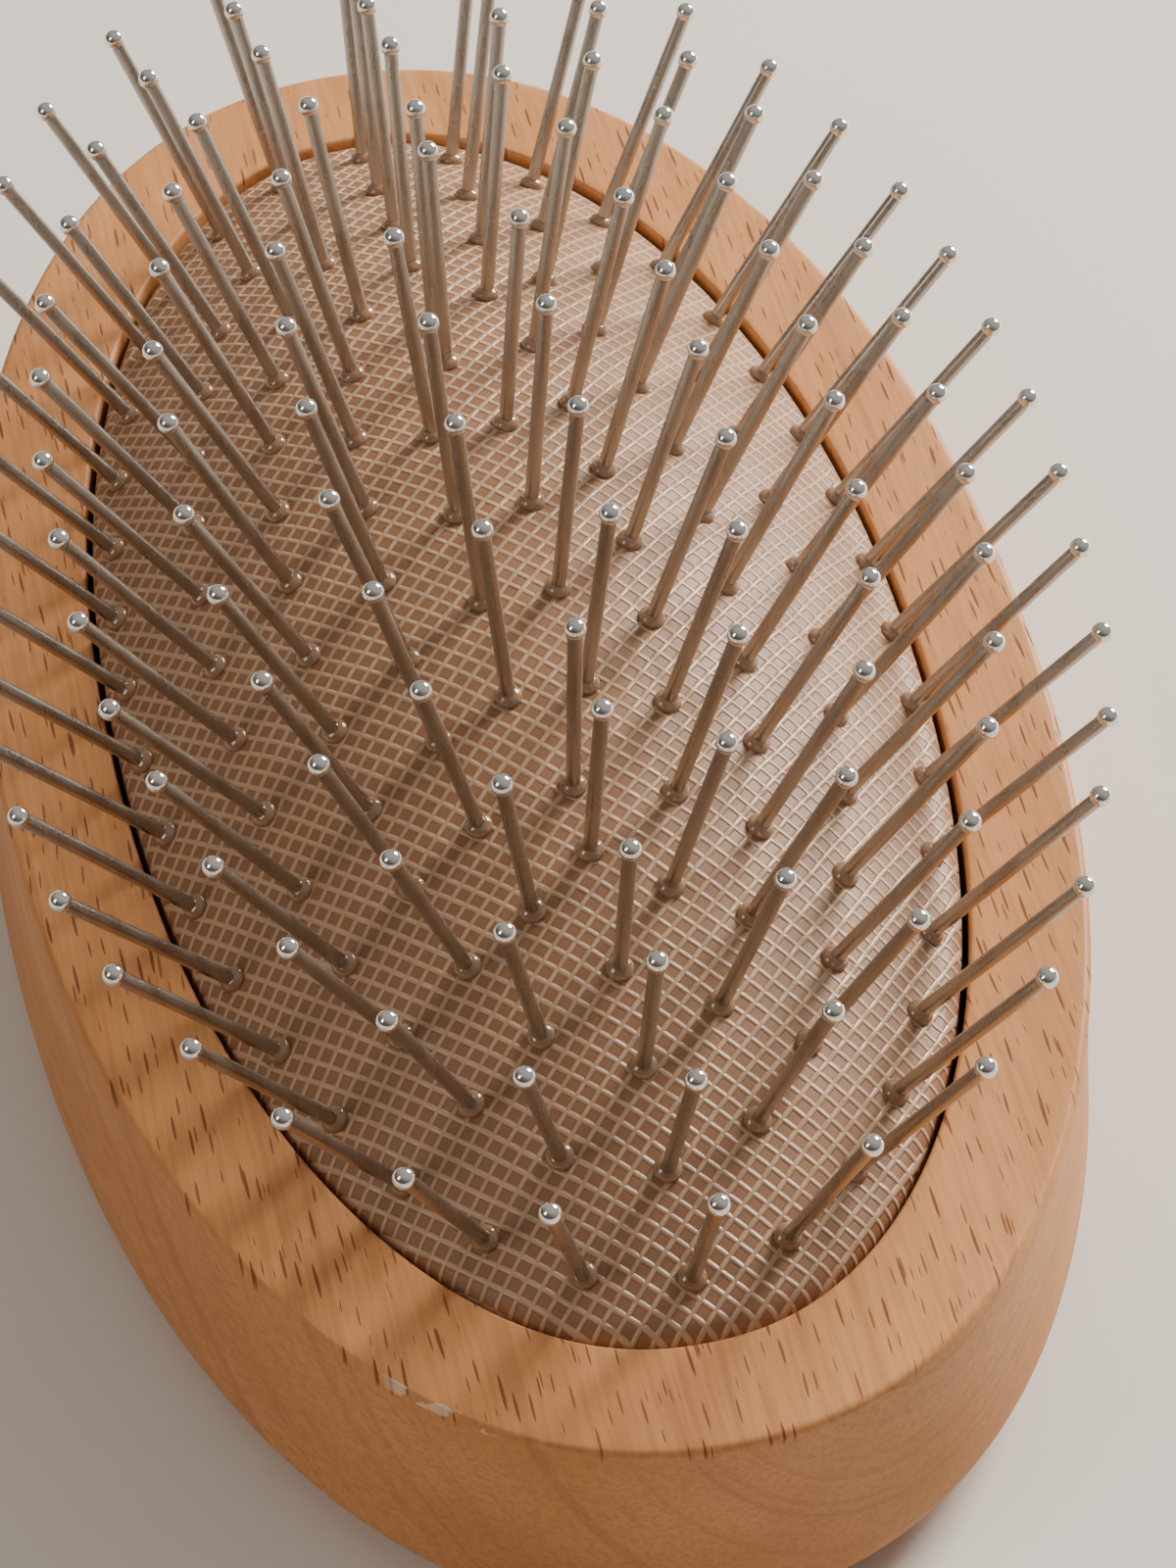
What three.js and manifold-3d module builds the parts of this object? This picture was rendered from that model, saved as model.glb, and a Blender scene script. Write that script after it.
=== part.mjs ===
// Oval palm brush: a beech block with a domed air cushion and rings of ball-tipped steel pins.
// Units are millimetres. +Z is up, the way the pins point. +Y runs along the block.
// The origin is the middle of the flat underside that the brush rests on.
import * as THREE from "three";
import { mergeVertices } from "three/addons/utils/BufferGeometryUtils.js";
import Module from "manifold-3d";

const wasm = await Module();
wasm.setup();

// Wooden block.
const rimHalfWidth = 36;
const rimHalfLength = 65.5;
const outlineFullness = 2.13; // exponent of the oval: 2 is an ellipse, more is squarer
const blockHeight = 20;
const wallFlare = 0.8; // how far the wall leans out between the rim and its widest place
const undersideRise = 4.5; // height of the rounded lower edge
const undersideInset = 7; // how far that edge draws the flat underside in
const arrisRadius = 0.5; // of the edge between wall and rim
const rimWidth = 8;
const cavityDepth = 11;

// Air cushion.
const cushionRise = 12.6; // height of the crown over the cushion's edge
const cushionSink = 0.3; // how far its edge lies under the rim
const cushionThickness = 2;
const flangeThickness = 1.4; // the edge that the groove in the block holds
const flangeReach = 1.2;
const flangeDepth = 2.6; // from the rim down to the flange's upper face
const skirtThickness = 1.5;
const zoneStep = 0.3; // gap between neighbouring zones of the cushion

// Pins.
const pinRadius = 0.5;
const ballRadius = 0.72;
const pinLength = 18; // from the cushion to the end of the ball
const ringCount = 5; // the innermost one is the double file along the middle
const ringMarginSide = 1.8; // from the cavity's wall to the outer ring
const ringMarginEnd = 3.9;
const pinPitch = 6.95; // from pin to pin along a ring
const filePairs = 4;
const fileHalfWidth = 2.6; // from the middle line to either pin of a pair
const fileLengthShare = 0.44; // how much of the cavity's length the middle file takes
const fileEndMargin = 1.9; // how far the innermost zone's layout runs past the file's last pin
const filePitchShare = 0.332; // from pair to pair, in shares of half the file's length
const fileEndShare = 0.194; // between the two single pins at each end, likewise
const pinsPerGroup = 4;
const headRadius = 0.8;

// Clearances.
const fitGap = 0.3; // between pieces that rest on or sit in one another
const pinHoleGap = 0.35; // all round a pin, so that it can rock in the cushion
const headGap = 1; // from the cushion's underside to the pins' heads

// How finely round shapes are divided.
const ovalSegments = 60;
const zoneSegments = 40;
const pinSides = 5;
const holeSides = 4;
const crownSteps = 2;
const zoneSteps = 1;
const lowerEdgeSteps = 4;
const arrisSteps = 2;
const ringBarSteps = 1; // from pin to pin
const fileBarSteps = 4; // the middle file's bar turns sharper corners

const rimZ = blockHeight;
const cushionEdgeZ = rimZ - cushionSink;
const cavityHalfWidth = rimHalfWidth - rimWidth;
const cavityHalfLength = rimHalfLength - rimWidth;
const fileHalfLength = fileLengthShare * cavityHalfLength;
const filePitch = filePitchShare * fileHalfLength;

// The rings divide the room between the cavity's wall and the middle file evenly.
const ringPitchSide = (cavityHalfWidth - ringMarginSide - fileHalfWidth) / (ringCount - 1);
const ringPitchEnd =
  (cavityHalfLength - ringMarginEnd - fileHalfLength - fileEndMargin) / (ringCount - 1);

const beech = new THREE.MeshStandardMaterial({ color: 0xc99a6c, roughness: 0.5, metalness: 0 });
const wovenRubber = new THREE.MeshStandardMaterial({ color: 0xb79b85, roughness: 0.6, metalness: 0 });
const steel = new THREE.MeshStandardMaterial({ color: 0xc8c6c2, roughness: 0.2, metalness: 1 });

// ---- joining and cutting ----

function toSolid(geometry) {
  const bare = geometry.clone();
  bare.deleteAttribute("normal");
  bare.deleteAttribute("uv");
  const merged = mergeVertices(bare, 1e-4);
  return new wasm.Manifold(
    new wasm.Mesh({
      numProp: 3,
      vertProperties: new Float32Array(merged.attributes.position.array),
      triVerts: new Uint32Array(merged.index.array),
    }),
  );
}

function toGeometry(solid) {
  const mesh = solid.getMesh();
  const geometry = new THREE.BufferGeometry();
  geometry.setAttribute("position", new THREE.BufferAttribute(mesh.vertProperties, 3));
  geometry.setIndex(new THREE.BufferAttribute(mesh.triVerts, 1));
  geometry.computeVertexNormals();
  return geometry;
}

function joined(geometries) {
  return geometries.map(toSolid).reduce((whole, next) => whole.add(next));
}

// ---- ovals ----

// A point of the rim's oval, moved straight inwards by inset. The turn starts at the near end.
function ovalPoint(turn, inset) {
  const across = Math.sin(turn);
  const along = -Math.cos(turn);
  const x = rimHalfWidth * Math.sign(across) * Math.abs(across) ** (2 / outlineFullness);
  const y = rimHalfLength * Math.sign(along) * Math.abs(along) ** (2 / outlineFullness);
  const power = outlineFullness - 1;
  const normal = new THREE.Vector2(
    (Math.sign(x) * Math.abs(x / rimHalfWidth) ** power) / rimHalfWidth,
    (Math.sign(y) * Math.abs(y / rimHalfLength) ** power) / rimHalfLength,
  ).normalize();
  return new THREE.Vector2(x, y).addScaledVector(normal, -inset);
}

// A lathed shape whose round plan is replaced: place(turn, row) says where each profile row goes.
// Rows with onAxis close the shape at its middle.
function lathed(rows, segments, place) {
  const profile = rows.map((row, i) => new THREE.Vector2(row.onAxis ? 0 : 1, i));
  const geometry = new THREE.LatheGeometry(profile, segments);
  const position = geometry.attributes.position;
  for (let i = 0; i < position.count; i++) {
    const row = rows[Math.round(position.getY(i))];
    const turn = ((Math.floor(i / rows.length) % segments) * 2 * Math.PI) / segments;
    const spot = place(turn, row);
    position.setXYZ(i, spot.x, spot.y, spot.z);
  }
  return geometry;
}

// A shape that follows the rim's oval: each row is [inset from the rim's outline, height].
function ovalTurned(rows, segments) {
  const named = rows.map(([inset, z]) => ({ inset, z, onAxis: inset === Infinity }));
  return lathed(named, segments, (turn, row) => {
    if (row.onAxis) return new THREE.Vector3(0, 0, row.z);
    const spot = ovalPoint(turn, row.inset);
    return new THREE.Vector3(spot.x, spot.y, row.z);
  });
}

// ---- wooden block ----

function quarterRound(steps, from, to) {
  return Array.from({ length: steps + 1 }, (_, i) => {
    const angle = (i / steps) * (Math.PI / 2);
    return [
      from[0] + (to[0] - from[0]) * (1 - Math.cos(angle)),
      from[1] + (to[1] - from[1]) * Math.sin(angle),
    ];
  });
}

function woodenBlock() {
  const cavityFloorZ = rimZ - cavityDepth;
  const grooveTopZ = rimZ - flangeDepth + fitGap;
  const grooveBottomZ = rimZ - flangeDepth - flangeThickness - fitGap;
  const grooveInset = rimWidth - flangeReach - fitGap;
  const lowerEdge = quarterRound(lowerEdgeSteps, [-wallFlare, undersideRise], [undersideInset, 0]);
  const upperArris = quarterRound(arrisSteps, [0, rimZ - arrisRadius], [arrisRadius, rimZ]);
  const rows = [
    [Infinity, 0],
    ...lowerEdge.reverse(),
    ...upperArris,
    [rimWidth, rimZ],
    [rimWidth, grooveTopZ],
    [grooveInset, grooveTopZ],
    [grooveInset, grooveBottomZ],
    [rimWidth, grooveBottomZ],
    [rimWidth, cavityFloorZ],
    [Infinity, cavityFloorZ],
  ];
  const mesh = new THREE.Mesh(ovalTurned(rows, ovalSegments), beech);
  mesh.name = "wooden_block";
  return mesh;
}

// ---- cushion surface ----

function cushionHeight(x, y) {
  const outward = (x / cavityHalfWidth) ** 2 + (y / cavityHalfLength) ** 2;
  return cushionEdgeZ + cushionRise * (1 - outward);
}

// Straight out of the cushion: the way a pin stands.
function cushionNormal(x, y) {
  return new THREE.Vector3(
    (2 * cushionRise * x) / cavityHalfWidth ** 2,
    (2 * cushionRise * y) / cavityHalfLength ** 2,
    1,
  ).normalize();
}

// ---- pin layout ----

function ringHalfWidth(ring) {
  return cavityHalfWidth - ringMarginSide - ring * ringPitchSide;
}

function ringHalfLength(ring) {
  return cavityHalfLength - ringMarginEnd - ring * ringPitchEnd;
}

// The even number of pins that comes closest to the pitch, so that one stands at each end.
function ringSpots(ring) {
  const loop = new THREE.EllipseCurve(
    0,
    0,
    ringHalfWidth(ring),
    ringHalfLength(ring),
    -Math.PI / 2,
    1.5 * Math.PI,
  );
  const count = 2 * Math.round(loop.getLength() / pinPitch / 2);
  return loop.getSpacedPoints(count).slice(0, count);
}

// Pairs side by side along the middle, with two single pins beyond each end.
function middleFileSpots() {
  const lastPairY = ((filePairs - 1) / 2) * filePitch;
  const firstSingleY = (1 - fileEndShare) * fileHalfLength;
  const spots = [];
  for (let pair = 0; pair < filePairs; pair++) {
    const y = -lastPairY + pair * filePitch;
    spots.push(new THREE.Vector2(-fileHalfWidth, y), new THREE.Vector2(fileHalfWidth, y));
  }
  for (const y of [firstSingleY, fileHalfLength]) {
    spots.unshift(new THREE.Vector2(0, -y));
    spots.push(new THREE.Vector2(0, y));
  }
  return spots;
}

function spotsOfRing(ring) {
  return ring === ringCount - 1 ? middleFileSpots() : ringSpots(ring);
}

// Neighbouring pins that rock together share a group.
function groupsOfRing(ring) {
  const spots = spotsOfRing(ring);
  const groupCount = Math.round(spots.length / pinsPerGroup);
  return Array.from({ length: groupCount }, (_, g) => {
    const first = Math.round((g * spots.length) / groupCount);
    const next = Math.round(((g + 1) * spots.length) / groupCount);
    return spots.slice(first, next);
  });
}

// ---- pins ----

function headDepth() {
  return cushionThickness + headGap;
}

// A round rod between two points. Its profile rows are [radius, distance from the start].
function rodAlong(start, direction, rows, sides) {
  const rod = new THREE.LatheGeometry(
    rows.map(([radius, distance]) => new THREE.Vector2(radius, distance)),
    sides,
  );
  const turn = new THREE.Quaternion().setFromUnitVectors(new THREE.Vector3(0, 1, 0), direction);
  return rod.applyQuaternion(turn).translate(start.x, start.y, start.z);
}

function pinShape(root, direction) {
  const neck = pinLength - ballRadius - Math.sqrt(ballRadius ** 2 - pinRadius ** 2);
  const rows = [
    [0, -headDepth() - headRadius],
    [pinRadius, -headDepth() - headRadius],
    [pinRadius, neck],
    [ballRadius, pinLength - ballRadius],
    [ballRadius * Math.SQRT1_2, pinLength - ballRadius * (1 - Math.SQRT1_2)],
    [0, pinLength],
  ];
  return rodAlong(root, direction, rows, pinSides);
}

// The flat heads of neighbouring pins, run together as one square bar under the cushion.
function headBar(heads, stepsPerPin) {
  const ends = [heads[0], heads[heads.length - 1]];
  const route = new THREE.CurvePath();
  const first = ends[0].clone().sub(heads[1]).setLength(headRadius).add(ends[0]);
  const last = ends[1].clone().sub(heads[heads.length - 2]).setLength(headRadius).add(ends[1]);
  const stops = [first, ...heads.slice(1, -1), last];
  stops.slice(1).forEach((stop, i) => route.add(new THREE.LineCurve3(stops[i], stop)));
  const section = new THREE.Shape([
    new THREE.Vector2(-headRadius, -headRadius),
    new THREE.Vector2(headRadius, -headRadius),
    new THREE.Vector2(headRadius, headRadius),
    new THREE.Vector2(-headRadius, headRadius),
  ]);
  const steps = stepsPerPin * (stops.length - 1);
  return new THREE.ExtrudeGeometry(section, { steps, extrudePath: route });
}

function rootPoint(spot) {
  return new THREE.Vector3(spot.x, spot.y, cushionHeight(spot.x, spot.y));
}

// The group turns about a level axis in the cushion, along its own stretch of the ring.
function rockFrame(spots, ring) {
  const middle = spots
    .reduce((sum, spot) => sum.add(rootPoint(spot)), new THREE.Vector3())
    .divideScalar(spots.length);
  middle.z -= cushionThickness / 2;
  const along = new THREE.Vector2(0, 1);
  if (ring < ringCount - 1) along.subVectors(spots[spots.length - 1], spots[0]).normalize();
  const frame = new THREE.Group();
  frame.position.copy(middle);
  frame.rotation.z = Math.atan2(along.y, along.x);
  frame.updateMatrixWorld(true);
  return frame;
}

function pinGroup(spots, ring, index) {
  const shapes = spots.map((spot) => pinShape(rootPoint(spot), cushionNormal(spot.x, spot.y)));
  const heads = spots.map((spot) =>
    rootPoint(spot).addScaledVector(cushionNormal(spot.x, spot.y), -headDepth() - headRadius),
  );
  const frame = rockFrame(spots, ring);
  const bar = headBar(heads, ring === ringCount - 1 ? fileBarSteps : ringBarSteps);
  const geometry = toGeometry(joined([...shapes, bar]));
  geometry.applyMatrix4(frame.matrixWorld.clone().invert());
  const mesh = new THREE.Mesh(geometry, steel);
  mesh.name = `pins_ring${ring + 1}_${String(index + 1).padStart(2, "0")}`;
  frame.add(mesh);
  return frame;
}

// ---- cushion ----

// Where the boundary outside a ring lies at this turn. The outer ring's is the cavity's wall.
function zoneBoundary(ring, turn, gap) {
  if (ring === 0) return ovalPoint(turn, rimWidth + gap);
  const halfWidth = (ringHalfWidth(ring - 1) + ringHalfWidth(ring)) / 2 - gap;
  const halfLength = (ringHalfLength(ring - 1) + ringHalfLength(ring)) / 2 - gap;
  return new THREE.Vector2(halfWidth * Math.sin(turn), -halfLength * Math.cos(turn));
}

function zoneShell(ring) {
  const crown = ring === ringCount - 1;
  const steps = crown ? crownSteps : zoneSteps;
  const rows = [];
  for (let i = 0; i <= steps; i++) {
    rows.push({ out: i / steps, drop: cushionThickness, onAxis: crown && i === 0 });
  }
  for (let i = steps; i >= 0; i--) {
    rows.push({ out: i / steps, drop: 0, onAxis: crown && i === 0 });
  }
  if (!crown) rows.push({ ...rows[0] });
  return lathed(rows, zoneSegments, (turn, row) => {
    const outer = zoneBoundary(ring, turn, ring === 0 ? fitGap : zoneStep / 2);
    const inner = crown ? new THREE.Vector2() : zoneBoundary(ring + 1, turn, -zoneStep / 2);
    const spot = inner.lerp(outer, row.onAxis ? 0 : row.out);
    return new THREE.Vector3(spot.x, spot.y, cushionHeight(spot.x, spot.y) - row.drop);
  });
}

// The moulded edge that goes down the cavity's wall and into its groove.
function cushionEdge() {
  const outside = rimWidth + fitGap;
  const inside = outside + skirtThickness;
  const flangeTopZ = rimZ - flangeDepth;
  const flangeBottomZ = flangeTopZ - flangeThickness;
  const rows = [
    [inside, flangeBottomZ],
    [rimWidth - flangeReach, flangeBottomZ],
    [rimWidth - flangeReach, flangeTopZ],
    [outside, flangeTopZ],
    [outside, cushionEdgeZ - cushionThickness / 2],
    [inside, cushionEdgeZ - cushionThickness / 2],
    [inside, flangeBottomZ],
  ];
  return ovalTurned(rows, zoneSegments);
}

function pinHole(spot) {
  const reach = 2 * cushionThickness;
  const radius = (pinRadius + pinHoleGap) / Math.cos(Math.PI / holeSides);
  const rows = [
    [0, -reach],
    [radius, -reach],
    [radius, reach],
    [0, reach],
  ];
  return rodAlong(rootPoint(spot), cushionNormal(spot.x, spot.y), rows, holeSides);
}

function cushionZone(ring) {
  let zone = toSolid(zoneShell(ring));
  if (ring === 0) zone = zone.add(toSolid(cushionEdge()));
  for (const spot of spotsOfRing(ring)) zone = zone.subtract(toSolid(pinHole(spot)));
  const mesh = new THREE.Mesh(toGeometry(zone), wovenRubber);
  mesh.name = `cushion_zone_${ring + 1}`;
  if (ring === 0) mesh.name = "cushion_edge";
  if (ring === ringCount - 1) mesh.name = "cushion_crown";
  return mesh;
}

// ---- the brush ----

const brush = new THREE.Group();
brush.name = "oval_palm_brush";
brush.add(woodenBlock());
for (let ring = 0; ring < ringCount; ring++) {
  brush.add(cushionZone(ring));
  groupsOfRing(ring).forEach((spots, index) => brush.add(pinGroup(spots, ring, index)));
}

export default brush;
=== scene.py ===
import math

import bpy
import numpy as np
from mathutils import Matrix, Vector


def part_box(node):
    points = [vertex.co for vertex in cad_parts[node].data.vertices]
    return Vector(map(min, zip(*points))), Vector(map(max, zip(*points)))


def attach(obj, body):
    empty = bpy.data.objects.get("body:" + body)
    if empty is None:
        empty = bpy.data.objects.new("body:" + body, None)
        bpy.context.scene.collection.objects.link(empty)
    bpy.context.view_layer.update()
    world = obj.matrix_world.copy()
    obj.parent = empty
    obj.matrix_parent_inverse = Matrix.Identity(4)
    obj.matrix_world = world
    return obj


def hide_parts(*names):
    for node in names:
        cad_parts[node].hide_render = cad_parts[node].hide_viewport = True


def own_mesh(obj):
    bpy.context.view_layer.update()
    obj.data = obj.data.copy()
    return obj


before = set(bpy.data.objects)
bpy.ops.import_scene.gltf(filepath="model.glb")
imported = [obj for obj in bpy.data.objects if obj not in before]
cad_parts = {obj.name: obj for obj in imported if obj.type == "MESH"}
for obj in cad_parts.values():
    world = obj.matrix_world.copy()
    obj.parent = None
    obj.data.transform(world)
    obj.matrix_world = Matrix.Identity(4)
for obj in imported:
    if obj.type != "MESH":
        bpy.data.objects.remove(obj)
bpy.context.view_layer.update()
MM = 0.001


# ---- The wooden block ----
# A thick oval of light beech, turned under at the bottom and hollowed on top for the cushion.
# The rim is flat with a softened arris. Everything else is held by this piece.
block_low, block_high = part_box("wooden_block")
wall_flare = 0.8 * MM
flare_power = 1.5
rim_half_width = block_high[0] - wall_flare
rim_half_length = block_high[1] - wall_flare
rim_z = block_high[2]
outline_fullness = 2.13
underside_rise = 4.5 * MM
underside_inset = 7.0 * MM
underside_flat = 6.0 * MM
arris_radius = 0.55 * MM
inner_arris_radius = 0.35 * MM
rim_width = 8.0 * MM
groove_edge_depth = 3.0 * MM
cavity_depth = 11.0 * MM
block_turns = 288
lower_edge_steps, wall_steps, arris_steps, rim_steps, inner_arris_steps = 12, 8, 6, 10, 4
sharp_block_angle = math.radians(50)


def oval_point(turn, inset):
    """A point of the rim's outline, moved straight inwards. The turn starts at the near end."""
    across, along = math.sin(turn), -math.cos(turn)
    power = 2 / outline_fullness
    x = rim_half_width * math.copysign(abs(across) ** power, across)
    y = rim_half_length * math.copysign(abs(along) ** power, along)
    normal = Vector((
        math.copysign(abs(x / rim_half_width) ** (outline_fullness - 1), x) / rim_half_width,
        math.copysign(abs(y / rim_half_length) ** (outline_fullness - 1), y) / rim_half_length,
    )).normalized()
    return x - inset * normal.x, y - inset * normal.y


def rounded(start, end, steps):
    """Profile points of a quarter round: it leaves the start upright and reaches the end level."""
    angles = [i / steps * math.pi / 2 for i in range(steps + 1)]
    return [
        (start[0] + (end[0] - start[0]) * (1 - math.cos(a)), start[1] + (end[1] - start[1]) * math.sin(a))
        for a in angles
    ]


def closed_loft(name, rows, turns, first_pole, last_pole):
    """A closed mesh of oval rows, each a list of points, between two poles on the middle line."""
    verts = [first_pole] + [p for row in rows for p in row] + [last_pole]
    last = len(verts) - 1
    faces = []
    for j in range(turns):
        k = (j + 1) % turns
        faces.append((0, 1 + k, 1 + j))
        for i in range(len(rows) - 1):
            low, high = 1 + i * turns, 1 + (i + 1) * turns
            faces.append((low + j, low + k, high + k, high + j))
        top = 1 + (len(rows) - 1) * turns
        faces.append((top + j, top + k, last))
    mesh = bpy.data.meshes.new(name)
    mesh.from_pydata(verts, [], faces)
    mesh.polygons.foreach_set("use_smooth", [True] * len(mesh.polygons))
    obj = bpy.data.objects.new(name, mesh)
    bpy.context.collection.objects.link(obj)
    return obj


lower_edge = rounded((-wall_flare, underside_rise), (underside_inset, 0), lower_edge_steps)[::-1]
wall_height = rim_z - arris_radius - underside_rise
wall = [(-wall_flare * (1 - i / wall_steps) ** flare_power, underside_rise + wall_height * i / wall_steps)
        for i in range(1, wall_steps)]
arris = rounded((0, rim_z - arris_radius), (arris_radius, rim_z), arris_steps)
flat_width = rim_width - inner_arris_radius - arris_radius
flat_rim = [(arris_radius + flat_width * i / rim_steps, rim_z) for i in range(1, rim_steps)]
outer_half = rounded((rim_width, rim_z - inner_arris_radius), (rim_width + inner_arris_radius, rim_z),
                     inner_arris_steps)
inner_arris = [(2 * rim_width - inset, z) for inset, z in outer_half[::-1]]
cavity_wall = [(rim_width, rim_z - groove_edge_depth), (rim_width, rim_z - cavity_depth)]
block_profile = (
    [(underside_inset + underside_flat, 0)] + lower_edge + wall + arris + flat_rim + inner_arris + cavity_wall
)
turn_angles = [2 * math.pi * j / block_turns for j in range(block_turns)]
block_rows = [[(*oval_point(t, inset), z) for t in turn_angles] for inset, z in block_profile]
block = closed_loft("beech_block", block_rows, block_turns, (0, 0, 0), (0, 0, rim_z - cavity_depth))
block.data.set_sharp_from_angle(angle=sharp_block_angle)

# The arris band marks the rows between the wall and the flat rim, where chips may show.
band_values = [0.0]
for inset, z in block_profile:
    on_arris = 0.0 < inset < arris_radius * 0.98 and z > rim_z - arris_radius
    band_values += [1.0 if on_arris else 0.0] * block_turns
arris_band = block.data.attributes.new("arris", "FLOAT", "POINT")
arris_band.data.foreach_set("value", band_values + [0.0])


def feed(tree, socket, value):
    """Links a socket to another one, or sets it to a plain value."""
    if isinstance(value, bpy.types.NodeSocket):
        tree.links.new(value, socket)
    else:
        socket.default_value = value


def add_node(tree, kind, **settings):
    """Adds a node. Names in small letters set its properties, then capitalised ones its sockets."""
    node = tree.nodes.new(kind)
    for name, value in settings.items():
        if not name[0].isupper():
            setattr(node, name, value)
    for name, value in settings.items():
        if name[0].isupper():
            label = name.replace("_", " ")
            feed(tree, next(s for s in node.inputs if s.name == label and s.enabled), value)
    return node


def sums(tree, operation, *values, clamp=False):
    """One step of arithmetic on numbers."""
    node = add_node(tree, "ShaderNodeMath", operation=operation, use_clamp=clamp)
    for socket, value in zip(node.inputs, values):
        feed(tree, socket, value)
    return node.outputs[0]


def vector_sums(tree, operation, *values):
    """One step of arithmetic on vectors, which gives a vector or, for two operations, a number."""
    node = add_node(tree, "ShaderNodeVectorMath", operation=operation)
    for socket, value in zip(node.inputs, values):
        feed(tree, socket, value)
    return node.outputs["Value" if operation in ("DISTANCE", "DOT_PRODUCT") else "Vector"]


def blended(tree, factor, low, high):
    """A colour between two others."""
    return add_node(tree, "ShaderNodeMix", data_type="RGBA", Factor=factor, A=low, B=high).outputs[2]


def stretched(tree, place, scale, shift=(0, 0, 0)):
    """The place scaled along each axis and shifted, to draw a pattern out or squeeze it."""
    return add_node(tree, "ShaderNodeMapping", Vector=place, Scale=scale, Location=shift).outputs[0]


def ranged(tree, value, low, high, out_low=0.0, out_high=1.0, smooth=True):
    """A value carried from one range to another, and held inside it."""
    node = add_node(tree, "ShaderNodeMapRange", interpolation_type="SMOOTHSTEP" if smooth else "LINEAR")
    for socket, part in zip(node.inputs, (value, low, high, out_low, out_high)):
        feed(tree, socket, part)
    return node.outputs[0]


def cloudy(tree, place, scale, detail, roughness=0.5):
    """Soft noise with about so many clouds in a metre along each axis. It has a Fac and a Color."""
    return add_node(tree, "ShaderNodeTexNoise", Vector=stretched(tree, place, scale), Scale=1.0,
                    Detail=detail, Roughness=roughness).outputs


def new_material(name):
    """A material with its node tree, its surface node and the place on the piece."""
    material = bpy.data.materials.new(name)
    material.use_nodes = True
    tree = material.node_tree
    place = add_node(tree, "ShaderNodeTexCoord").outputs["Object"]
    return material, tree, tree.nodes["Principled BSDF"], place


def embossed(tree, surface, relief, strength, depth):
    """Gives a surface a fine relief of that depth."""
    bump = add_node(tree, "ShaderNodeBump", Strength=strength, Distance=depth, Height=relief)
    tree.links.new(bump.outputs[0], surface.inputs["Normal"])


def growth_lines(tree, place):
    """Year rings about an axis above the rim, drawn out along the grain and uneven in width."""
    log_axis = (15 * MM, 0.0, 27.5 * MM)
    along_grain = 0.05
    rings_per_metre = 1100.0
    drift_per_metre = 14
    from_axis = vector_sums(tree, "DISTANCE", stretched(tree, place, (1, along_grain, 1)), log_axis)
    across = add_node(tree, "ShaderNodeCombineXYZ", X=sums(tree, "MULTIPLY", from_axis, rings_per_metre))
    along = stretched(tree, place, (0, drift_per_metre, 0))
    return add_node(tree, "ShaderNodeTexNoise", Vector=vector_sums(tree, "ADD", along, across.outputs[0]),
                    Scale=1.0, Detail=4.0, Roughness=0.6, Distortion=0.3).outputs["Fac"]


def ray_flecks(tree, place):
    """Short dashes along the grain, on the flat rim only: 1 inside a fleck and 0 between."""
    smallest, largest, soft_edge = 0.05, 0.15, 0.03
    second_layer_share = 0.85
    fade_from, fade_to = rim_z - 1.2 * MM, rim_z - 0.2 * MM
    wander = cloudy(tree, place, (140, 60, 20), 1.0)["Color"]
    bent = vector_sums(tree, "MULTIPLY_ADD", wander, (1.6 * MM, 2.0 * MM, 0.0), place)
    layers = []
    for cells_per_metre, shift in (((1150, 100, 1), (0, 0, 0)), ((1400, 130, 1), (7.3, 3.1, 0))):
        cells = add_node(tree, "ShaderNodeTexVoronoi", voronoi_dimensions="2D", feature="F1",
                         Vector=stretched(tree, bent, cells_per_metre, shift), Scale=1.0, Randomness=0.8)
        luck = add_node(tree, "ShaderNodeSeparateColor", Color=cells.outputs["Color"]).outputs[0]
        size = ranged(tree, luck, 0.0, 1.0, smallest, largest, smooth=False)
        inside = sums(tree, "SUBTRACT", size, cells.outputs["Distance"])
        layers.append(ranged(tree, inside, 0.0, soft_edge))
    both = sums(tree, "MAXIMUM", layers[0], sums(tree, "MULTIPLY", layers[1], second_layer_share))
    height = add_node(tree, "ShaderNodeSeparateXYZ", Vector=place).outputs["Z"]
    return sums(tree, "MULTIPLY", both, ranged(tree, height, fade_from, fade_to))


def knocked_spots(tree, place):
    """Bare wood on the arris: one run of chips by the near end, and fainter wear elsewhere."""
    chips_start, chips_full, chips_thin, chips_end = -20.5 * MM, -19 * MM, -14.5 * MM, -12.5 * MM
    near_half_full = -20 * MM
    faint = 0.5
    wear = cloudy(tree, place, (420, 420, 900), 4.0, 0.65)["Fac"]
    patches = cloudy(tree, place, (70, 70, 70), 1.0)["Fac"]
    band = add_node(tree, "ShaderNodeAttribute", attribute_name="arris").outputs["Fac"]
    side = add_node(tree, "ShaderNodeSeparateXYZ", Vector=place).outputs
    run = sums(tree, "MULTIPLY", ranged(tree, side["X"], chips_start, chips_full),
               ranged(tree, side["X"], chips_end, chips_thin))
    run = sums(tree, "MULTIPLY", run, ranged(tree, side["Y"], 0.0, near_half_full))
    knocked = sums(tree, "MAXIMUM", run, ranged(tree, patches, 0.66, 0.72, 0.0, faint))
    return sums(tree, "MULTIPLY", sums(tree, "MULTIPLY", ranged(tree, wear, 0.50, 0.56), band), knocked)


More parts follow.
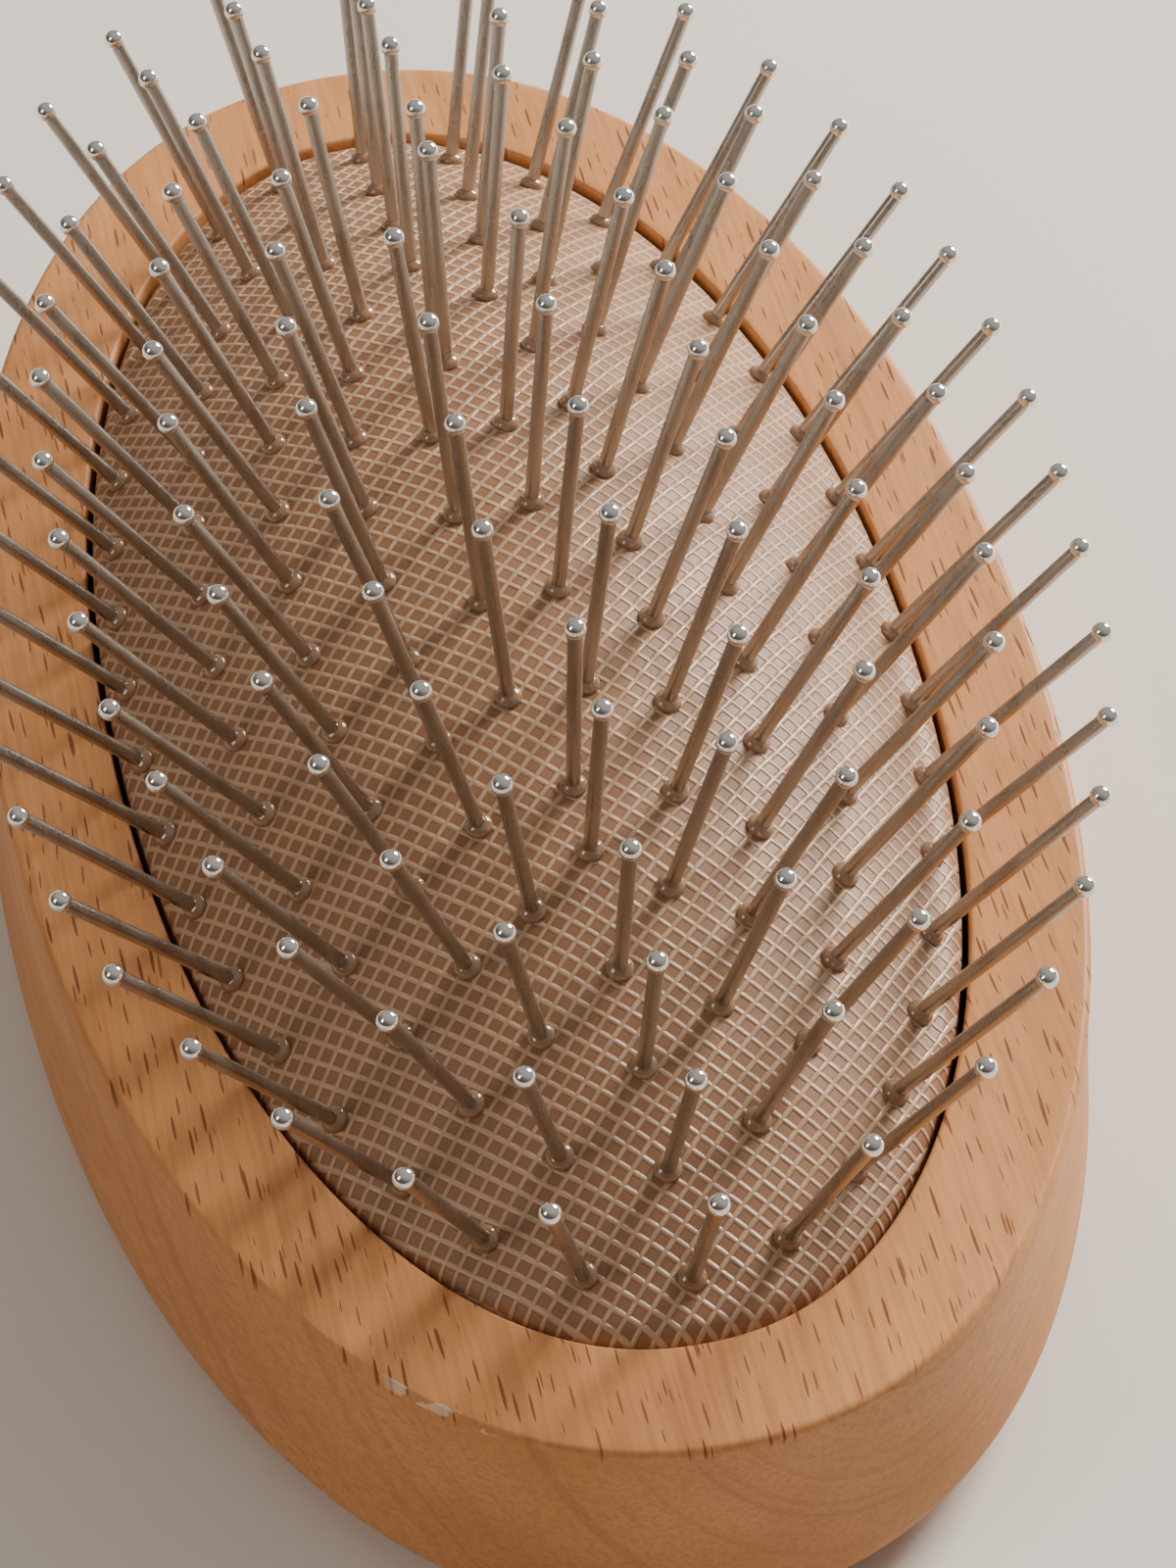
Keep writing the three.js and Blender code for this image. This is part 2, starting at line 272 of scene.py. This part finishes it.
def beech_material():
    """Lacquered beech: the grain runs along +Y, with short dark flecks and fine growth lines."""
    pale, honey = (0.66, 0.30, 0.112, 1), (0.56, 0.238, 0.08, 1)
    late_wood, fibre_brown = (0.36, 0.145, 0.05, 1), (0.38, 0.155, 0.055, 1)
    fleck_brown, bare_wood = (0.17, 0.045, 0.011, 1), (0.85, 0.70, 0.52, 1)
    material, tree, surface, place = new_material("lacquered beech")
    broad = cloudy(tree, place, (60, 14, 90), 3.0, 0.55)["Fac"]
    growth = growth_lines(tree, place)
    fibres = cloudy(tree, place, (2600, 150, 2600), 2.0)["Fac"]
    flecks = ray_flecks(tree, place)
    chips = knocked_spots(tree, place)

    colour = blended(tree, ranged(tree, broad, 0.3, 0.72), pale, honey)
    colour = blended(tree, ranged(tree, growth, 0.48, 0.72, 0.0, 0.42), colour, late_wood)
    colour = blended(tree, ranged(tree, fibres, 0.35, 0.72, 0.0, 0.42), colour, fibre_brown)
    colour = blended(tree, sums(tree, "MULTIPLY", flecks, 0.85), colour, fleck_brown)
    colour = blended(tree, sums(tree, "MULTIPLY", chips, 0.55), colour, bare_wood)
    tree.links.new(colour, surface.inputs["Base Color"])

    roughness = ranged(tree, broad, 0.2, 0.8, 0.5, 0.62, smooth=False)
    tree.links.new(sums(tree, "MULTIPLY_ADD", flecks, 0.2, roughness), surface.inputs["Roughness"])
    relief = sums(tree, "SUBTRACT", sums(tree, "MULTIPLY", fibres, 0.25), sums(tree, "MULTIPLY", flecks, 0.7))
    embossed(tree, surface, sums(tree, "MULTIPLY_ADD", chips, 0.8, relief), strength=0.35, depth=0.06 * MM)
    surface.inputs["Coat Weight"].default_value = 0.1
    surface.inputs["Coat Roughness"].default_value = 0.25
    surface.inputs["Specular IOR Level"].default_value = 0.25
    return material


block.data.materials.append(beech_material())
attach(block, "block")
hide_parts("wooden_block")


# ---- The air cushion ----
# One sheet of brown rubber faced with an open woven mesh, domed by the air under it.
# Its edge turns down into the gap round the cavity, where a groove in the block holds it.
cushion_rise = 12.6 * MM
cushion_edge_z = rim_z - 0.3 * MM
cushion_thickness = 2.0 * MM
skirt_thickness = 0.8 * cushion_thickness
edge_gap = 0.42 * MM
edge_roll = 1.3 * MM
roll_drop, roll_sink = 0.9 * edge_roll, 0.35 * edge_roll
edge_depth = 3.4 * MM
root_dimple = 0.16 * MM
dimple_reach = 1.5 * MM
weave_pitch = 1.13 * MM
weave_turn = math.radians(45)
cavity_half_width = rim_half_width - rim_width
cavity_half_length = rim_half_length - rim_width
cushion_turns = 360
cushion_steps, roll_steps, inside_steps = 78, 7, 12
sharp_cushion_angle = math.radians(60)


def cushion_height(x, y):
    """How high the domed sheet stands above the underside at a place."""
    outward = (x / cavity_half_width) ** 2 + (y / cavity_half_length) ** 2
    return cushion_edge_z + cushion_rise * (1 - outward)


def cushion_normal(x, y):
    """The way that a pin stands on the domed sheet at a place."""
    return Vector((
        2 * cushion_rise * x / cavity_half_width ** 2,
        2 * cushion_rise * y / cavity_half_length ** 2,
        1,
    )).normalized()


# The pins stand in four ovals one inside the other, round a middle file of pairs.
ring_count = 5
pin_pitch = 6.95 * MM
pins_per_group = 4
ring_margin_side, ring_margin_end = 1.8 * MM, 3.9 * MM
file_pairs = 4
file_half_width = 2.6 * MM
file_end_margin = 1.9 * MM
file_half_length = 0.44 * cavity_half_length
file_pitch = 0.332 * file_half_length
file_end_pitch = 0.194 * file_half_length
ring_run_side = cavity_half_width - ring_margin_side - file_half_width
ring_run_end = cavity_half_length - ring_margin_end - file_half_length - file_end_margin
ring_pitch_side, ring_pitch_end = ring_run_side / (ring_count - 1), ring_run_end / (ring_count - 1)
samples_round_ring = 4001


def ring_spots(ring):
    """Pin roots round one ring, evenly spaced from the near end."""
    half_width = cavity_half_width - ring_margin_side - ring * ring_pitch_side
    half_length = cavity_half_length - ring_margin_end - ring * ring_pitch_end
    angle = np.linspace(-math.pi / 2, 1.5 * math.pi, samples_round_ring)
    x, y = half_width * np.cos(angle), half_length * np.sin(angle)
    run = np.concatenate([[0], np.cumsum(np.hypot(np.diff(x), np.diff(y)))])
    count = 2 * int(run[-1] / pin_pitch / 2 + 0.5)
    stops = np.arange(count) * run[-1] / count
    return list(zip(np.interp(stops, run, x), np.interp(stops, run, y)))


def middle_file_spots():
    """Pairs side by side along the middle, then two single pins beyond each end."""
    last_pair = (file_pairs - 1) / 2 * file_pitch
    ends = [file_half_length - file_end_pitch, file_half_length]
    pairs = [(side * file_half_width, -last_pair + i * file_pitch)
             for i in range(file_pairs) for side in (-1, 1)]
    return [(0, -y) for y in ends[::-1]] + pairs + [(0, y) for y in ends]


all_spots = [ring_spots(ring) for ring in range(ring_count - 1)] + [middle_file_spots()]
root_places = np.array([spot for spots in all_spots for spot in spots])


def dimpled_height(x, y):
    """The sheet's height, drawn in a little round the nearest pin."""
    nearest = ((root_places - (x, y)) ** 2).sum(1).min()
    return cushion_height(x, y) - root_dimple * math.exp(-nearest / dimple_reach ** 2)


def cushion_rows_outwards():
    """Rows of the cushion from its crown out, over the rolled edge and back under to the middle."""
    angles = [2 * math.pi * j / cushion_turns for j in range(cushion_turns)]
    wall_inset = rim_width + edge_gap
    shoulder = [oval_point(t, wall_inset + edge_roll) for t in angles]
    skirt = [oval_point(t, wall_inset) for t in angles]
    inside = [oval_point(t, wall_inset + skirt_thickness) for t in angles]
    rows = []
    for share in [i / cushion_steps for i in range(1, cushion_steps + 1)]:
        rows.append([(x * share, y * share, dimpled_height(x * share, y * share)) for x, y in shoulder])
    for roll in [i / roll_steps * math.pi / 2 for i in range(1, roll_steps + 1)]:
        drop = roll_drop * (1 - math.cos(roll)) + roll_sink * math.sin(roll)
        edge = [oval_point(t, wall_inset + edge_roll * (1 - math.sin(roll))) for t in angles]
        rows.append([(x, y, cushion_height(*over) - drop) for (x, y), over in zip(edge, shoulder)])
    rows += [[(x, y, rim_z - edge_depth) for x, y in row] for row in (skirt, inside)]
    for share in [i / inside_steps for i in range(inside_steps, 0, -1)]:
        rows.append([(x * share, y * share, cushion_height(x * share, y * share) - cushion_thickness)
                     for x, y in inside])
    return rows


crown_z = cushion_height(0, 0)
cushion = closed_loft("woven_cushion", cushion_rows_outwards()[::-1], cushion_turns,
                      (0, 0, crown_z - cushion_thickness), (0, 0, crown_z))
cushion.data.set_sharp_from_angle(angle=sharp_cushion_angle)


def arc_run(distance, half_size):
    """How far along the domed sheet a point lies, for one at that distance from the middle."""
    slope = 2 * cushion_rise * distance / half_size ** 2
    return half_size ** 2 / (4 * cushion_rise) * (slope * math.sqrt(1 + slope ** 2) + math.asinh(slope))


weave_map = cushion.data.uv_layers.new(name="weave")
corner_points = [cushion.data.vertices[loop.vertex_index].co for loop in cushion.data.loops]
weave_map.data.foreach_set("uv", [
    value / weave_pitch
    for co in corner_points
    for value in (arc_run(co.x, cavity_half_width), arc_run(co.y, cavity_half_length))
])


def woven_height(tree, place):
    """Round threads crossing over and under at right angles: 0 in a cell, 1 on the highest thread."""
    thread_half = 0.19
    over_and_under = 0.14
    sheet = add_node(tree, "ShaderNodeUVMap", uv_map="weave").outputs[0]
    sway = cloudy(tree, place, (55, 55, 55), 2.0)["Color"]
    bent = vector_sums(tree, "MULTIPLY_ADD", sway, (1.1, 1.1, 0.0), sheet)
    turned = add_node(tree, "ShaderNodeVectorRotate", rotation_type="Z_AXIS", Vector=bent, Angle=weave_turn)
    both = add_node(tree, "ShaderNodeSeparateXYZ", Vector=turned.outputs[0]).outputs
    heights = []
    for axis, other, swing in ((0, 1, over_and_under), (1, 0, -over_and_under)):
        across = sums(tree, "FRACT", both[axis])
        off = sums(tree, "ABSOLUTE", sums(tree, "SUBTRACT", across, 0.5))
        off_squared = sums(tree, "POWER", sums(tree, "DIVIDE", off, thread_half), 2.0)
        round_top = sums(tree, "SQRT", sums(tree, "SUBTRACT", 1.0, off_squared, clamp=True))
        phase = sums(tree, "ADD", sums(tree, "FLOOR", both[axis]), both[other])
        wave = sums(tree, "COSINE", sums(tree, "MULTIPLY", sums(tree, "ADD", phase, axis - 0.5), math.pi))
        rise = sums(tree, "MULTIPLY_ADD", wave, swing, 1 - over_and_under)
        heights.append(sums(tree, "MULTIPLY", round_top, rise))
    return sums(tree, "MAXIMUM", *heights)


def woven_rubber_material():
    """Beige glossy threads crossing at right angles over brown rubber, which shows in each cell."""
    dark_cell, light_cell = (0.25, 0.112, 0.05, 1), (0.31, 0.15, 0.072, 1)
    dark_yarn, light_yarn = (0.47, 0.285, 0.165, 1), (0.58, 0.375, 0.235, 1)
    fuzz_brown = (0.36, 0.23, 0.15, 1)
    material, tree, surface, place = new_material("woven mesh on rubber")
    weave = woven_height(tree, place)
    thread = ranged(tree, weave, 0.02, 0.75)
    tone = cloudy(tree, place, (40, 40, 40), 3.0)["Fac"]
    fuzz = cloudy(tree, place, (5200, 5200, 5200), 2.0)["Fac"]
    cell = blended(tree, tone, dark_cell, light_cell)
    yarn = blended(tree, tone, dark_yarn, light_yarn)
    yarn = blended(tree, ranged(tree, fuzz, 0.3, 0.8, 0.0, 0.3), yarn, fuzz_brown)
    tree.links.new(blended(tree, thread, cell, yarn), surface.inputs["Base Color"])
    tree.links.new(ranged(tree, thread, 0.0, 1.0, 0.5, 0.3, smooth=False), surface.inputs["Roughness"])
    embossed(tree, surface, sums(tree, "MULTIPLY_ADD", fuzz, 0.05, weave), strength=0.8, depth=0.26 * MM)
    surface.inputs["Specular IOR Level"].default_value = 0.5
    return material


cushion.data.materials.append(woven_rubber_material())
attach(cushion, "block")
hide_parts("cushion_edge", "cushion_zone_2", "cushion_zone_3", "cushion_zone_4", "cushion_crown")
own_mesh(cushion)


# ---- The pins and their root beads ----
# Each pin is a straight steel wire with a small ball formed on its tip and a flat head under
# the cushion. It stands square to the dome in a glossy bead of rubber that grips its root.
wire_radius = 0.5 * MM
wire_sides, wire_lengths = 20, 6
ball_radius = 0.72 * MM
ball_segments, ball_rings = 24, 16
pin_length = 18.0 * MM
pin_lean = 0.02
head_depth = 3.2 * MM
head_radius = 1.2 * MM
head_thickness = 0.4 * MM
bead_radius = 0.94 * MM
bead_height = 0.62 * MM
bead_segments, bead_rings = 20, 12
sharp_pin_angle = math.radians(50)


def group_sockets(tree, inputs):
    """Gives a geometry node group its geometry sockets and its named inputs."""
    tree.interface.new_socket("Geometry", in_out="INPUT", socket_type="NodeSocketGeometry")
    for name, kind, value in inputs:
        socket = tree.interface.new_socket(name, in_out="INPUT", socket_type="NodeSocket" + kind)
        if value is not None:
            socket.default_value = value
    tree.interface.new_socket("Geometry", in_out="OUTPUT", socket_type="NodeSocketGeometry")
    return tree.nodes.new("NodeGroupInput").outputs, tree.nodes.new("NodeGroupOutput").inputs


def root_attribute(tree, name, kind):
    """What each root point says under that name."""
    return add_node(tree, "GeometryNodeInputNamedAttribute", data_type=kind, Name=name).outputs[0]


def placed_on_roots(tree, shape, given, stand):
    """Stands one copy of shape on each root point, realised, smooth and with its material."""
    upright = add_node(tree, "FunctionNodeAlignRotationToVector", axis="Z", Vector=stand)
    copies = add_node(tree, "GeometryNodeInstanceOnPoints", Points=given["Geometry"], Instance=shape,
                      Rotation=upright.outputs[0])
    real = add_node(tree, "GeometryNodeRealizeInstances", Geometry=copies.outputs[0])
    smooth = add_node(tree, "GeometryNodeSetShadeSmooth", Geometry=real.outputs[0])
    return add_node(tree, "GeometryNodeSetMaterial", Geometry=smooth.outputs[0],
                    Material=given["Material"]).outputs[0]


def moved(tree, shape, height):
    """A shape moved up its own axis."""
    shift = add_node(tree, "ShaderNodeCombineXYZ", Z=height).outputs[0]
    return add_node(tree, "GeometryNodeTransform", Geometry=shape, Translation=shift).outputs[0]


def pin_tree():
    """Wire, ball tip and head on each root point, each pin leaning a little its own way."""
    tree = bpy.data.node_groups.new("Pins on Roots", "GeometryNodeTree")
    given, result = group_sockets(tree, [
        ("Length", "Float", pin_length), ("Wire Radius", "Float", wire_radius),
        ("Ball Radius", "Float", ball_radius), ("Head Depth", "Float", head_depth),
        ("Head Radius", "Float", head_radius), ("Lean", "Float", pin_lean),
        ("Seed", "Int", 7), ("Material", "Material", None),
    ])
    ball_z = sums(tree, "SUBTRACT", given["Length"], given["Ball Radius"])
    wire_length = sums(tree, "ADD", ball_z, given["Head Depth"])
    wire_middle = sums(tree, "MULTIPLY", sums(tree, "SUBTRACT", ball_z, given["Head Depth"]), 0.5)
    head_z = sums(tree, "MULTIPLY", given["Head Depth"], -1.0)
    wire = add_node(tree, "GeometryNodeMeshCylinder", fill_type="TRIANGLE_FAN", Vertices=wire_sides,
                    Side_Segments=wire_lengths, Radius=given["Wire Radius"], Depth=wire_length)
    ball = add_node(tree, "GeometryNodeMeshUVSphere", Segments=ball_segments, Rings=ball_rings,
                    Radius=given["Ball Radius"])
    # The ball tips are marked for a smoother polish and for a lighter colour, which is a painted highlight.
    tip_polish_and_painted_highlight = add_node(tree, "GeometryNodeStoreNamedAttribute", Geometry=ball.outputs["Mesh"],
                        Name="polish_and_painted_highlight", Value=1.0)
    head = add_node(tree, "GeometryNodeMeshCylinder", fill_type="TRIANGLE_FAN", Vertices=wire_sides,
                    Radius=given["Head Radius"], Depth=head_thickness)
    whole = tree.nodes.new("GeometryNodeJoinGeometry")
    for part, height in ((wire, wire_middle), (tip_polish_and_painted_highlight, ball_z), (head, head_z)):
        tree.links.new(moved(tree, part.outputs[0], height), whole.inputs[0])

    chance = add_node(tree, "FunctionNodeRandomValue", data_type="FLOAT_VECTOR", Min=(-1, -1, -1),
                      Max=(1, 1, 1), ID=root_attribute(tree, "number", "INT"), Seed=given["Seed"])
    lean = add_node(tree, "ShaderNodeVectorMath", operation="SCALE", Vector=chance.outputs[0],
                    Scale=given["Lean"])
    way = vector_sums(tree, "ADD", root_attribute(tree, "stand", "FLOAT_VECTOR"), lean.outputs[0])
    tree.links.new(placed_on_roots(tree, whole.outputs[0], given, way), result[0])
    return tree


def bead_tree():
    """A flattened bead on each root point."""
    tree = bpy.data.node_groups.new("Beads on Roots", "GeometryNodeTree")
    given, result = group_sockets(tree, [
        ("Radius", "Float", bead_radius), ("Height", "Float", bead_height), ("Material", "Material", None),
    ])
    ball = add_node(tree, "GeometryNodeMeshUVSphere", Segments=bead_segments, Rings=bead_rings, Radius=1.0)
    size = add_node(tree, "ShaderNodeCombineXYZ", X=given["Radius"], Y=given["Radius"], Z=given["Height"])
    bead = add_node(tree, "GeometryNodeTransform", Geometry=ball.outputs["Mesh"], Scale=size.outputs[0])
    stand = root_attribute(tree, "stand", "FLOAT_VECTOR")
    tree.links.new(placed_on_roots(tree, bead.outputs[0], given, stand), result[0])
    return tree


def grown(name, spots, first_number, tree, material):
    """Root points for these spots, run through a node group and kept as a plain mesh."""
    points = bpy.data.meshes.new(name + "_roots")
    points.from_pydata([(x, y, cushion_height(x, y)) for x, y in spots], [], [])
    stand = points.attributes.new("stand", "FLOAT_VECTOR", "POINT")
    stand.data.foreach_set("vector", [v for x, y in spots for v in cushion_normal(x, y)])
    number = points.attributes.new("number", "INT", "POINT")
    number.data.foreach_set("value", [first_number + i for i in range(len(spots))])
    obj = bpy.data.objects.new(name, points)
    bpy.context.collection.objects.link(obj)
    modifier = obj.modifiers.new("roots", "NODES")
    modifier.node_group = tree
    sockets = {s.name: s.identifier for s in tree.interface.items_tree
               if s.item_type == "SOCKET" and s.in_out == "INPUT"}
    modifier[sockets["Material"]] = material
    bpy.context.view_layer.update()
    mesh = bpy.data.meshes.new_from_object(obj.evaluated_get(bpy.context.evaluated_depsgraph_get()))
    obj.modifiers.remove(modifier)
    obj.data = mesh
    mesh.name = name
    mesh.set_sharp_from_angle(angle=sharp_pin_angle)
    return obj


def steel_material():
    """Drawn wire with faint draw marks and a slightly warm tint. The ball tips are polished smoother, and
    their lighter colour is a painted highlight.
    """
    dark_wire, light_wire = (0.34, 0.30, 0.26, 1), (0.56, 0.52, 0.47, 1)
    # The ball tips' lighter colour is a painted highlight, not a colour of the steel.
    painted_highlight_tip = (0.88, 0.86, 0.83, 1)
    polish_gain = -0.22
    material, tree, surface, place = new_material("polished steel")
    marks = cloudy(tree, place, (700, 700, 90), 3.0)["Fac"]
    polish_and_painted_highlight = add_node(tree, "ShaderNodeAttribute", attribute_name="polish_and_painted_highlight").outputs["Fac"]
    drawn = blended(tree, marks, dark_wire, light_wire)
    # Painted highlight: the marked ball tips take the lighter tip colour.
    tree.links.new(blended(tree, polish_and_painted_highlight, drawn, painted_highlight_tip), surface.inputs["Base Color"])
    drawn_roughness = ranged(tree, marks, 0.3, 0.8, 0.24, 0.34, smooth=False)
    smoother = sums(tree, "MULTIPLY", polish_and_painted_highlight, polish_gain)
    tree.links.new(sums(tree, "ADD", drawn_roughness, smoother, clamp=True), surface.inputs["Roughness"])
    surface.inputs["Metallic"].default_value = 1.0
    return material


def bead_material():
    """Clear brown rubber cement, glossy, a little uneven."""
    dark_cement, light_cement = (0.20, 0.105, 0.05, 1), (0.38, 0.22, 0.125, 1)
    material, tree, surface, place = new_material("rubber bead")
    uneven = cloudy(tree, place, (1500, 1500, 1500), 2.0)["Fac"]
    tree.links.new(blended(tree, uneven, dark_cement, light_cement), surface.inputs["Base Color"])
    tree.links.new(ranged(tree, uneven, 0.3, 0.8, 0.05, 0.16, smooth=False), surface.inputs["Roughness"])
    embossed(tree, surface, uneven, strength=0.15, depth=0.08 * MM)
    surface.inputs["Coat Weight"].default_value = 1.0
    surface.inputs["Coat Roughness"].default_value = 0.04
    return material


bead_spots = [tuple(spot) for spot in root_places]
beads = grown("root_beads", bead_spots, 0, bead_tree(), bead_material())
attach(beads, "block")
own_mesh(beads)

# Neighbouring pins of a ring go together in one piece, as they rock together.
steel = steel_material()
pins_on_roots = pin_tree()
pin_number = 0
for ring, spots in enumerate(all_spots):
    group_count = int(len(spots) / pins_per_group + 0.5)
    for g in range(group_count):
        first = int(g * len(spots) / group_count + 0.5)
        after = int((g + 1) * len(spots) / group_count + 0.5)
        label = f"ring{ring + 1}_{g + 1:02d}"
        pins = grown(f"steel_pins_{label}", spots[first:after], pin_number, pins_on_roots, steel)
        pin_number += after - first
        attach(pins, f"rocker_{label}")
        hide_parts(f"pins_{label}")


# ---- The floor, the light and the camera ----
# A plain pale table under the brush, a large soft window behind and to the right of it,
# a weaker one to the left, and a long lens looking down on the near end.
floor_half = 3.0
floor_gap = 0.05 * MM
floor_mesh = bpy.data.meshes.new("floor")
floor_corners = [(-floor_half, -floor_half, 0), (floor_half, -floor_half, 0),
                 (floor_half, floor_half, 0), (-floor_half, floor_half, 0)]
floor_mesh.from_pydata(floor_corners, [], [(0, 1, 2, 3)])
floor = bpy.data.objects.new("floor", floor_mesh)
bpy.context.collection.objects.link(floor)
floor.location.z = block_low[2] - floor_gap


def table_material():
    """A pale matt table with a faint mottle."""
    warm_grey, light_grey = (0.74, 0.70, 0.645, 1), (0.77, 0.73, 0.675, 1)
    material, tree, surface, place = new_material("pale table")
    tone = cloudy(tree, place, (6, 6, 6), 2.0)["Fac"]
    tree.links.new(blended(tree, tone, warm_grey, light_grey), surface.inputs["Base Color"])
    surface.inputs["Roughness"].default_value = 0.6
    return material


floor_mesh.materials.append(table_material())


def window_light(name, direction, distance, size, power, tint):
    """A rectangular area light facing the brush from that direction."""
    lamp = bpy.data.lights.new(name, "AREA")
    lamp.shape = "RECTANGLE"
    lamp.size, lamp.size_y = size
    lamp.energy = power
    lamp.color = tint
    obj = bpy.data.objects.new(name, lamp)
    bpy.context.collection.objects.link(obj)
    away = Vector(direction).normalized()
    obj.location = away * distance
    obj.rotation_mode = "QUATERNION"
    obj.rotation_quaternion = away.to_track_quat("Z", "Y")


window_light("window", direction=(1.0, 0.72, 0.68), distance=0.9, size=(0.34, 0.3), power=19.0,
             tint=(1.0, 0.95, 0.88))
window_light("side fill", direction=(-1.0, -0.35, 0.8), distance=1.0, size=(0.3, 0.5), power=2.3,
             tint=(1.0, 0.9, 0.8))

# The room is brighter on the window's side.
room = bpy.data.worlds.new("room")
bpy.context.scene.world = room
room.use_nodes = True
room_tree = room.node_tree
room_background = room_tree.nodes["Background"]
room_shade, room_glow = (0.22, 0.18, 0.15, 1), (0.92, 0.88, 0.83, 1)
glow_side = Vector((0.55, 0.35, 0.75)).normalized()
looking = add_node(room_tree, "ShaderNodeTexCoord").outputs["Generated"]
facing = ranged(room_tree, vector_sums(room_tree, "DOT_PRODUCT", looking, glow_side), -0.35, 0.9)
room_tree.links.new(blended(room_tree, facing, room_shade, room_glow), room_background.inputs["Color"])
room_background.inputs["Strength"].default_value = 0.46

camera = bpy.data.objects.new("camera", bpy.data.cameras.new("camera"))
bpy.context.collection.objects.link(camera)
look_at = Vector((2.92, -11.16, 20.0)) * MM
camera_azimuth, camera_elevation = math.radians(-11.914), math.radians(48.219)
camera_distance = 333.8 * MM
camera_roll = math.radians(-1.006)
back = Vector((math.sin(camera_azimuth) * math.cos(camera_elevation),
               -math.cos(camera_azimuth) * math.cos(camera_elevation), math.sin(camera_elevation)))
level = (-back).cross(Vector((0, 0, 1))).normalized()
above = level.cross(-back)
right = level * math.cos(camera_roll) + above * math.sin(camera_roll)
up = above * math.cos(camera_roll) - level * math.sin(camera_roll)
camera.matrix_world = Matrix.Translation(look_at + back * camera_distance) @ Matrix(
    (right, up, back)).transposed().to_4x4()
camera.data.sensor_width = 36.0
camera.data.lens = 113.5
camera.data.clip_start, camera.data.clip_end = 0.01, 20.0
bpy.context.scene.camera = camera
